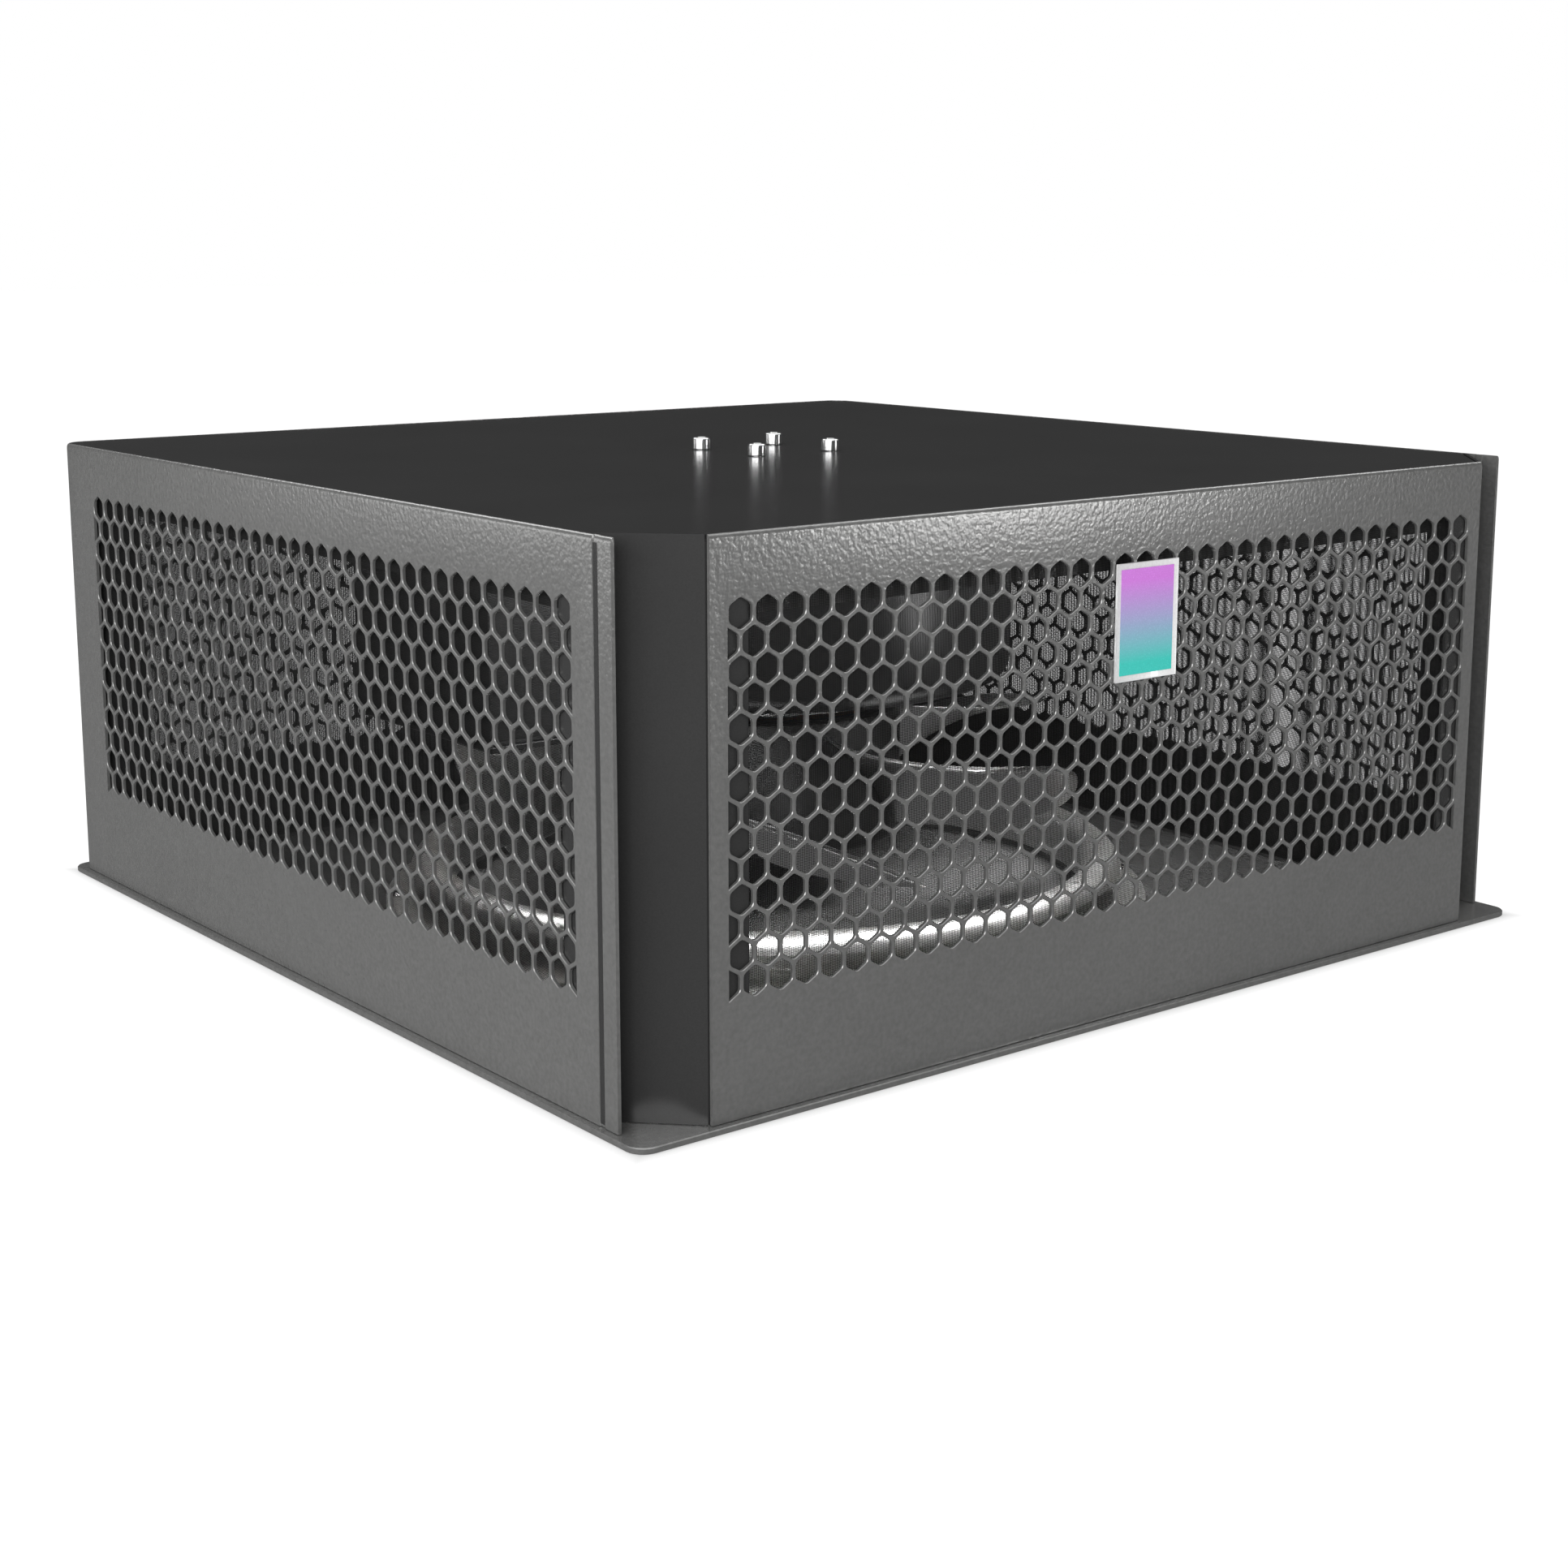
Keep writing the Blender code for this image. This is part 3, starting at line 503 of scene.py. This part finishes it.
def wrap_sheet():
    """The bent sheet: left side, rear and right side, with a pressed fold line near each front end."""
    front = -wrap_low.y  # how far forward the side sheets reach
    side = HALF - BEND + front
    arc = BEND * pi / 2
    rear = 2 * (HALF - BEND)

    def place(s, z, d):
        if s <= side:
            return (-HALF + d, -front + s, z)
        s -= side
        if s < arc:
            a = s / BEND
            return (-HALF + BEND - (BEND - d) * cos(a), HALF - BEND + (BEND - d) * sin(a), z)
        s -= arc
        if s <= rear:
            return (-HALF + BEND + s, HALF - d, z)
        s -= rear
        if s < arc:
            a = s / BEND
            return (HALF - BEND + (BEND - d) * sin(a), HALF - BEND + (BEND - d) * cos(a), z)
        return (HALF - d, HALF - BEND - (s - arc), z)

    total = 2 * side + 2 * arc + rear
    sheet = PunchedSheet(place, PANEL_LOW, RIM)
    fold = FOLD - (HALF - front)  # from the sheet's front end to the middle of the fold line
    half = FOLD_WIDTH / 2
    marks = [(0.0, 0.0), (fold - half, 0.0), (fold - half + FOLD_WALL, FOLD_DEPTH)]
    marks += [(fold + half - FOLD_WALL, FOLD_DEPTH), (fold + half, 0.0)]
    for (a, push_a), (b, push_b) in zip(marks, marks[1:]):
        sheet.plain(a, b, push_a, push_b)
        sheet.plain(total - b, total - a, push_b, push_a)
    inset = fold + half
    sheet.field(front, inset, side)
    sheet.field(total - front, total - side, total - inset)
    sheet.field(total / 2, side + arc, side + arc + rear)
    for k in range(BEND_STEPS):
        for start in (side, side + arc + rear):
            sheet.plain(start + arc * k / BEND_STEPS, start + arc * (k + 1) / BEND_STEPS)
    sheet.end(0.0, True)
    sheet.end(total, False)
    bm = sheet.build("wrap_sheet")
    gap = FLANGE_END - (HALF - front)
    stations = [gap, side] + [side + arc * k / BEND_STEPS for k in range(1, BEND_STEPS + 1)]
    stations += [total - s for s in stations[::-1]]
    folds = [(low, low + SHEET, SHEET - TOUCH, FLANGE) for low in (PANEL_LOW, FLANGE_TOP - SHEET)]
    folds.append((RETURN_LOW, FLANGE_TOP - SHEET / 2, FLANGE - SHEET, FLANGE))
    for low, high, near, far in folds:
        section = ((low, near), (high, near), (high, far), (low, far))
        rings = [[bm.verts.new(place(s, z, d)) for z, d in section] for s in stations]
        for here, there in zip(rings, rings[1:]):
            for k in range(4):
                n = (k + 1) % 4
                bm.faces.new((here[k], there[k], there[n], here[n]))
        bm.faces.new(rings[0][::-1])
        bm.faces.new(rings[-1])
    obj = from_bmesh("wrap_sheet", bm, FINISHES["panel_grey"], smooth=25)
    stand_for(obj, "housing", "panel_grey", "wrap_panel")


def fold_sealant():
    """A dark strip along the bottom of each pressed fold line: painted shade that stands in for the shadow
    down in the fold.
    """
    middle, reach = FOLD - HALF, FOLD_WIDTH / 2 - FOLD_WALL
    low, high = PANEL_LOW + 0.001, RIM - RIM_ROUND - 0.0005
    bottom = HALF - FOLD_DEPTH
    bm = bmesh.new()
    for side in (-1, 1):
        x0, x1 = sorted((side * (bottom + SHADE_STRIP), side * (bottom - 2 * TOUCH)))
        box_corners(bm, (x0, middle - reach, low), (x1, middle + reach, high))
    strip = from_bmesh("fold_sealant", bm, FINISHES["dark_paint"])
    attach(strip, "housing")


def gauze():
    """The insect screen: fine woven wires, as one long bar for each wire."""
    low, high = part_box("insect_screen")
    edge = high.x
    rear = edge - 0.0126  # the gauze cuts across the rear bends
    knee = edge - 0.0293  # and runs behind the front posts
    spacing, wire = 0.0006, 0.00019
    corners = [(-knee, -edge), (-edge, -knee), (-edge, rear), (-rear, edge)]
    corners += [(rear, edge), (edge, rear), (edge, -knee), (knee, -edge)]
    bm = bmesh.new()

    def bar(a, b, across):
        ends = [[bm.verts.new(Vector(p) + o) for o in across] for p in (a, b)]
        for k in range(3):
            n = (k + 1) % 3
            bm.faces.new((ends[0][k], ends[0][n], ends[1][n], ends[1][k]))

    for (ax, ay), (bx, by) in zip(corners, corners[1:] + corners[:1]):
        length = hypot(bx - ax, by - ay)
        along = Vector((bx - ax, by - ay, 0)) / length
        inward = Vector((along.y, -along.x, 0))
        up = Vector((0, 0, 1))
        half = wire / 2
        lying = (-up * half, up * half, inward * wire)
        standing = (-along * half + inward * half, along * half + inward * half, inward * -half)
        rows = int((high.z - low.z) / spacing)
        for k in range(1, rows):
            z = low.z + k * spacing
            bar((ax, ay, z), (bx, by, z), lying)
        for k in range(1, int(length / spacing)):
            p = Vector((ax, ay, 0)) + along * k * spacing
            bar((p.x, p.y, low.z), (p.x, p.y, high.z), standing)
    obj = from_bmesh("wire_gauze", bm, FINISHES["gauze_black"])
    stand_for(obj, "housing", "gauze_black", "insect_screen")


# ---- base and badge -------------------------------------------------------------------------------
def base():
    """The base plate with its rounded corners, broken edges and the round inlet hole."""
    half, thick = base_high.x, base_high.z
    corner, edge_break = 0.008, 0.0004
    steps = 8
    turns = [(quarter, i) for quarter in range(4) for i in range(steps + 1)]
    bm = bmesh.new()
    loops = []
    for inset, z in ((edge_break, 0.0), (0.0, edge_break), (0.0, thick - edge_break), (edge_break, thick)):
        radius = corner - inset
        loops.append([])
        for quarter, i in turns:
            diagonal = (quarter + 0.5) * pi / 2
            reach = (half - corner) * sqrt(2)
            a = (quarter + i / steps) * pi / 2
            x = reach * cos(diagonal) + radius * cos(a)
            y = reach * sin(diagonal) + radius * sin(a)
            loops[-1].append(bm.verts.new((x, y, z)))
    for z in (thick, 0.0):
        angles = [k * pi / 2 / steps for k in range(4 * steps)]
        circle = [bm.verts.new((INLET_R * cos(a), INLET_R * sin(a), z)) for a in angles]
        loops.append([circle[(quarter * steps + i) % len(circle)] for quarter, i in turns])
    for here, there in zip(loops, loops[1:] + loops[:1]):
        for k in range(len(turns)):
            n = (k + 1) % len(turns)
            corners = list(dict.fromkeys((here[k], here[n], there[n], there[k])))
            if len(corners) > 2:
                bm.faces.new(corners)
    obj = from_bmesh("base_sheet", bm, FINISHES["panel_grey"], smooth=40)
    stand_for(obj, "housing", "panel_grey", "base_plate")


def badge():
    """A plate with a raised metal frame round a field of plain enamel. It has no lettering or mark."""
    low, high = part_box("badge_plate")
    border, sink, lean, gap = 0.0021, 0.0005, 0.0002, 0.0004
    bm = bmesh.new()
    box_corners(bm, low, high)
    face = min(bm.faces, key=lambda f: f.calc_center_median().y)
    bmesh.ops.inset_region(bm, faces=[face], thickness=border)
    bmesh.ops.inset_region(bm, faces=[face], thickness=lean, depth=-sink)
    bevelled(bm, 0.00025)
    plate = from_bmesh("badge_frame", bm, FINISHES["badge"], smooth=40)
    stand_for(plate, "housing", "badge", "badge_plate")
    field = bmesh.new()
    inset = Vector((border + gap, 0.0, border + gap))
    front, back = low.y + sink * 0.4, low.y + sink * 1.2
    box_corners(field, Vector((low.x, front, low.z)) + inset, Vector((high.x, back, high.z)) - inset)
    bevelled(field, 0.00015)
    enamel = from_bmesh("badge_field", field, enamel_finish(low.z, high.z), smooth=40)
    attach(enamel, "housing")


# ---- fasteners -------------------------------------------------------------------------------------
def motor_screws():
    """Cap screws with a rounded top edge and a recess for the key, each turned with its shank."""
    shank_r, corner, recess, edge_break = 0.0025, 0.0012, 0.0018, 0.0003
    for number in range(1, 5):
        low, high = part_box(f"motor_screw_{number}")
        centre = (low + high) / 2
        head_r = (high.x - low.x) / 2
        seat = top_high.z + 0.0003  # the head stands this close above the lid
        height = high.z - seat
        end = low.z - seat
        profile = [(0.0, end), (shank_r - edge_break, end), (shank_r, end + edge_break), (shank_r, 0.0)]
        profile += [(head_r - edge_break, 0.0), (head_r, edge_break)]
        for k in range(6):
            a = k * pi / 10
            profile.append((head_r - corner + corner * cos(a), height - corner + corner * sin(a)))
        profile += [(recess + 0.0002, height), (recess, height - 0.0002), (recess, height * 0.5)]
        profile.append((0.0, height * 0.45))
        bm = bmesh.new()
        turned(bm, profile, 36, Matrix.Translation((centre.x, centre.y, seat)))
        obj = from_bmesh(f"cap_screw_{number}", bm, FINISHES["fastener_steel"], smooth=40)
        stand_for(obj, "housing", "fastener_steel", f"motor_screw_{number}")


# ---- inlet ring and impeller -------------------------------------------------------------------------
def inlet_ring():
    """The pressed ring again, from many more points round its curl."""
    low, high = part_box("inlet_ring")
    half = SHEET / 2
    flange_z = low.z + half
    fillet = 0.006
    throat = 0.1535
    curl_r = 0.0095
    line = [(high.x, flange_z)]
    for i in range(9):
        a = -pi / 2 - i * pi / 16
        line.append((throat + half + fillet + fillet * cos(a), flange_z + fillet + fillet * sin(a)))
    for i in range(21):
        a = pi - i * radians(165) / 20
        line.append((throat + half + curl_r + curl_r * cos(a), high.z - half - curl_r + curl_r * sin(a)))
    outer, inner = [], []
    for i, (r, z) in enumerate(line):
        before, after = line[max(i - 1, 0)], line[min(i + 1, len(line) - 1)]
        dr, dz = after[0] - before[0], after[1] - before[1]
        length = hypot(dr, dz)
        outer.append((r + dz / length * half, z - dr / length * half))
        inner.append((r - dz / length * half, z + dr / length * half))
    bm = bmesh.new()
    turned(bm, outer + inner[::-1], 160)
    obj = from_bmesh("inlet_bell", bm, FINISHES["galvanised"], smooth=40)
    stand_for(obj, "housing", "galvanised", "inlet_ring")


def hub_cup():
    """The impeller hub, a cup with a rounded lower edge and a bore in its floor."""
    low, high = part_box("impeller_hub")
    outer, inner, bore, floor = high.x, 0.0623, 0.0180, 0.0025
    round_r, edge_break = 0.004, 0.0006
    profile = [(bore, low.z), (outer - round_r, low.z)]
    for i in range(1, 7):
        a = -pi / 2 + i * pi / 12
        profile.append((outer - round_r + round_r * cos(a), low.z + round_r + round_r * sin(a)))
    profile += [(outer, high.z - edge_break), (outer - edge_break, high.z), (inner, high.z)]
    profile += [(inner, low.z + floor), (bore, low.z + floor)]
    bm = bmesh.new()
    turned(bm, profile, 128)
    obj = from_bmesh("hub_cup", bm, FINISHES["hub_black"], smooth=40)
    stand_for(obj, "rotor", "hub_black", "impeller_hub")


BLADES = 5
BLADE_ROOT = 0.0660  # radius where the blades begin
BLADE_TIP = 0.1520
BLADE_T = 0.0026
BLADE_LOW = 0.0385
BLADE_HIGH = 0.0930
BLADE_START = radians(-62)  # where the first blade's leading root corner lies
ROOT_SPAN = radians(44)  # angle covered by a blade at its root
TIP_SPAN = radians(62)
SWEEP = radians(34)  # how far the tip is swept forward
ROOT_RISE = 0.004  # the root's lower edge lies this much higher than the tip's
TIP_FALL = 0.006  # the tip's upper edge lies this much lower than the root's
CROWN = 0.010  # bulge half way along the chord at the tip


def blade_point(radial, chord, lift):
    """A point on a blade: radial and chord go from 0 to 1, and lift is its distance from the middle."""
    radius = BLADE_ROOT + (BLADE_TIP - BLADE_ROOT) * radial
    span = ROOT_SPAN + (TIP_SPAN - ROOT_SPAN) * radial
    angle = SWEEP * radial**1.6 - span * chord
    low = BLADE_LOW + ROOT_RISE * (1 - radial)
    high = BLADE_HIGH - TIP_FALL * radial
    height = low + (high - low) * chord + CROWN * sin(pi * chord) * (0.4 + 0.6 * radial)
    taper = 1.0 - 0.55 * abs(2 * chord - 1) ** 3
    return Vector((radius * cos(angle), radius * sin(angle), height + lift * taper))


def blades(across=14, along=30):
    """Smooth versions of the swept blades, on the same surface as the CAD's."""
    for index in range(BLADES):
        turn = Matrix.Rotation(BLADE_START + 2 * pi * index / BLADES, 4, "Z")
        bm = bmesh.new()
        skins = []
        for lift in (-BLADE_T / 2, BLADE_T / 2):
            skins.append([
                [bm.verts.new(turn @ blade_point(i / across, j / along, lift)) for j in range(along + 1)]
                for i in range(across + 1)
            ])
        lower, upper = skins
        for grid in skins:
            for i in range(across):
                for j in range(along):
                    bm.faces.new((grid[i][j], grid[i + 1][j], grid[i + 1][j + 1], grid[i][j + 1]))
        border = [(i, 0) for i in range(across)] + [(across, j) for j in range(along)]
        border += [(i, along) for i in range(across, 0, -1)] + [(0, j) for j in range(along, 0, -1)]
        for (a, b), (c, d) in zip(border, border[1:] + border[:1]):
            bm.faces.new((lower[a][b], lower[c][d], upper[c][d], upper[a][b]))
        bmesh.ops.recalc_face_normals(bm, faces=bm.faces)
        bevelled(bm, 0.0005, 2, 50)
        obj = from_bmesh(f"blade_{index + 1}", bm, FINISHES["blade_metal"], smooth=45)
        stand_for(obj, "rotor", "blade_metal", f"impeller_blade_{index + 1}")


def motor_bell():
    """The drum under the lid, with smooth bends."""
    low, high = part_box("motor_bell")
    outer, wall, bend = high.x, 0.002, 0.010
    hole, centre_hole = 0.044, 0.012  # radii of the hole for the motor and of the one under the lid
    inner = outer - wall
    top, floor = high.z, low.z
    profile = [(centre_hole, top), (centre_hole, top - wall), (inner, top - wall)]
    for i in range(9):
        a = i * pi / 16
        profile.append((inner - bend + bend * cos(a), floor + wall + bend - bend * sin(a)))
    profile += [(hole, floor + wall), (hole, floor)]
    for i in range(9):
        a = pi / 2 - i * pi / 16
        profile.append((outer - bend + bend * cos(a), floor + bend - bend * sin(a)))
    profile.append((outer, top))
    bm = bmesh.new()
    turned(bm, profile, 160)
    obj = from_bmesh("bell_drum", bm, FINISHES["motor_black"], smooth=35)
    stand_for(obj, "housing", "motor_black", "motor_bell")


# ---- stage -----------------------------------------------------------------------------------------
CAMERA_PLACE = (-0.71855, -0.92830, 0.32225)
CAMERA_DOWN = radians(10.658)  # how far the camera looks down
CAMERA_TURN = radians(38.171)  # and how far to the right of the cabinet's Y axis
CAMERA_LENS = 56.22  # millimetres, for a picture 36 mm wide
CAMERA_SHIFT = -0.0600

# name, place, target, size (metres), power (watts)
STUDIO_LAMPS = (
    ("front_softbox", (1.27, -1.73, 0.34), (-0.06, -0.25, 0.15), (0.12, 0.5), 4.2),
    ("side_softbox", (-1.35, 1.45, 0.34), (-0.25, -0.2, 0.15), (0.3, 0.5), 1.6),
    ("left_fill", (-2.3, -0.2, 0.9), (-0.25, 0.0, 0.1), (1.8, 1.4), 36.0),
    ("fill", (-1.6, -1.7, 1.0), (0.0, 0.0, 0.1), (1.4, 1.2), 34.0),
    ("right_rim", (1.5, -0.15, 1.6), (0.1, -0.25, 0.2), (0.8, 0.8), 7.0),
    ("rear_rim", (-0.25, 1.6, 1.5), (-0.25, 0.1, 0.2), (0.8, 0.8), 7.0),
)
INNER_PLACES = ((-0.14, -0.16), (0.02, -0.165), (-0.165, 0.09), (0.15, -0.15), (-0.185, -0.03))
INNER_POWER = 0.9


def area_light(name, place, target, size, power):
    light = bpy.data.lights.new(name, "AREA")
    light.shape = "RECTANGLE"
    light.size, light.size_y = size
    light.energy = power
    obj = bpy.data.objects.new(name, light)
    bpy.context.scene.collection.objects.link(obj)
    obj.location = place
    obj.rotation_euler = (Vector(target) - Vector(place)).to_track_quat("-Z", "Y").to_euler()
    obj.visible_camera = False
    return obj


def inner_lamps():
    """Small lamps under the lid and a strip beside the bell. They don't light the outer sheets."""
    outer = bpy.data.collections.new("not_lit_from_inside")
    for name in ("front_sheet", "wrap_sheet", "wire_gauze"):
        outer.objects.link(bpy.data.objects[name])
    for entry in outer.collection_objects:
        entry.light_linking.link_state = "EXCLUDE"
    z = FLANGE_TOP - 0.006
    lamps = []
    for number, (x, y) in enumerate(INNER_PLACES):
        lamps.append(area_light(f"inside_{number + 1}", (x, y, z), (x, y, 0.0), (0.1, 0.1), INNER_POWER))
    lamps.append(area_light("bell_strip", (0.045, -0.185, 0.155), (0.0, -0.117, 0.15), (0.02, 0.06), 0.1))
    for lamp in lamps:
        lamp.light_linking.receiver_collection = outer


def studio_world():
    """A white surround for the camera, and for light a soft overhead glow over a dim room."""
    world = bpy.data.worlds.new("studio")
    bpy.context.scene.world = world
    world.use_nodes = True
    tree = world.node_tree
    background = tree.nodes["Background"]
    background.inputs["Strength"].default_value = 1.0
    direction = tree.nodes.new("ShaderNodeTexCoord").outputs["Generated"]
    split = tree.nodes.new("ShaderNodeSeparateXYZ")
    tree.links.new(direction, split.inputs["Vector"])
    height = tree.nodes.new("ShaderNodeMapRange")
    height.inputs["From Min"].default_value = -1.0
    tree.links.new(split.outputs["Z"], height.inputs["Value"])
    ramp = tree.nodes.new("ShaderNodeValToRGB")
    tree.links.new(height.outputs["Result"], ramp.inputs["Fac"])
    # from straight down at 0 to straight up at 1, and how bright it is there
    levels = ((0.0, 0.24), (0.44, 0.17), (0.50, 0.03), (0.80, 0.05), (0.97, 2.0))
    for _ in range(len(levels) - 2):
        ramp.color_ramp.elements.new(0.5)
    for element, (position, level) in zip(ramp.color_ramp.elements, levels):
        element.position = position
        element.color = (*grey(level), 1.0)
    path = tree.nodes.new("ShaderNodeLightPath")
    mix = tree.nodes.new("ShaderNodeMix")
    mix.data_type = "RGBA"
    tree.links.new(path.outputs["Is Camera Ray"], mix.inputs[0])
    tree.links.new(ramp.outputs["Color"], mix.inputs[6])
    mix.inputs[7].default_value = (1.0, 1.0, 1.0, 1.0)
    tree.links.new(mix.outputs[2], background.inputs["Color"])


def pale_floor():
    """A pale floor that glows softly up to the base plate, so that it meets the surround without a line.
    The glow fades out across the base plate's edge: a painted contact shadow.
    """
    shadow_in, shadow_out = base_high.x - 0.016, base_high.x + 0.010
    bm = bmesh.new()
    bmesh.ops.create_grid(bm, x_segments=1, y_segments=1, size=12.0)
    f = Finish("floor", 0.0)
    f.colour(f.ramp(f.noise(3), grey(0.22), grey(0.23)))
    f.shader.inputs["Roughness"].default_value = 0.9
    f.shader.inputs["Specular IOR Level"].default_value = 0.0
    f.shader.inputs["Emission Color"].default_value = (1.0, 1.0, 1.0, 1.0)
    size = f.tree.nodes.new("ShaderNodeVectorMath")
    size.operation = "ABSOLUTE"
    f.tree.links.new(f.coords, size.inputs[0])
    split = f.tree.nodes.new("ShaderNodeSeparateXYZ")
    f.tree.links.new(size.outputs[0], split.inputs["Vector"])
    reach = f.tree.nodes.new("ShaderNodeMath")
    reach.operation = "MAXIMUM"
    f.tree.links.new(split.outputs["X"], reach.inputs[0])
    f.tree.links.new(split.outputs["Y"], reach.inputs[1])
    # the glow fades to nothing round and under the base plate: a painted contact shadow
    glow = f.tree.nodes.new("ShaderNodeMapRange")
    glow.interpolation_type = "SMOOTHSTEP"
    glow.inputs["From Min"].default_value = shadow_in
    glow.inputs["From Max"].default_value = shadow_out
    glow.inputs["To Max"].default_value = 0.84
    f.tree.links.new(reach.outputs["Value"], glow.inputs["Value"])
    f.tree.links.new(glow.outputs["Result"], f.shader.inputs["Emission Strength"])
    floor = from_bmesh("floor", bm, f.material)
    floor.location.z = -0.0002
    floor.visible_glossy = False


def camera():
    obj = bpy.data.objects.new("camera", bpy.data.cameras.new("camera"))
    bpy.context.scene.collection.objects.link(obj)
    obj.location = CAMERA_PLACE
    obj.rotation_euler = (pi / 2 - CAMERA_DOWN, 0.0, -CAMERA_TURN)
    obj.data.sensor_width = 36.0
    obj.data.lens = CAMERA_LENS
    obj.data.shift_y = CAMERA_SHIFT
    obj.data.clip_start = 0.01
    obj.data.clip_end = 60.0
    bpy.context.scene.camera = obj


def stage():
    bpy.context.scene.view_settings.view_transform = "Standard"
    studio_world()
    pale_floor()
    for lamp in STUDIO_LAMPS:
        area_light(*lamp)
    inner_lamps()
    camera()


# ---- assembly ----------------------------------------------------------------------------------------
finish_frame()
front_sheet()
wrap_sheet()
fold_sealant()
gauze()
base()
badge()
motor_screws()
inlet_ring()
hub_cup()
blades()
motor_bell()
stage()

bpy.context.view_layer.update()
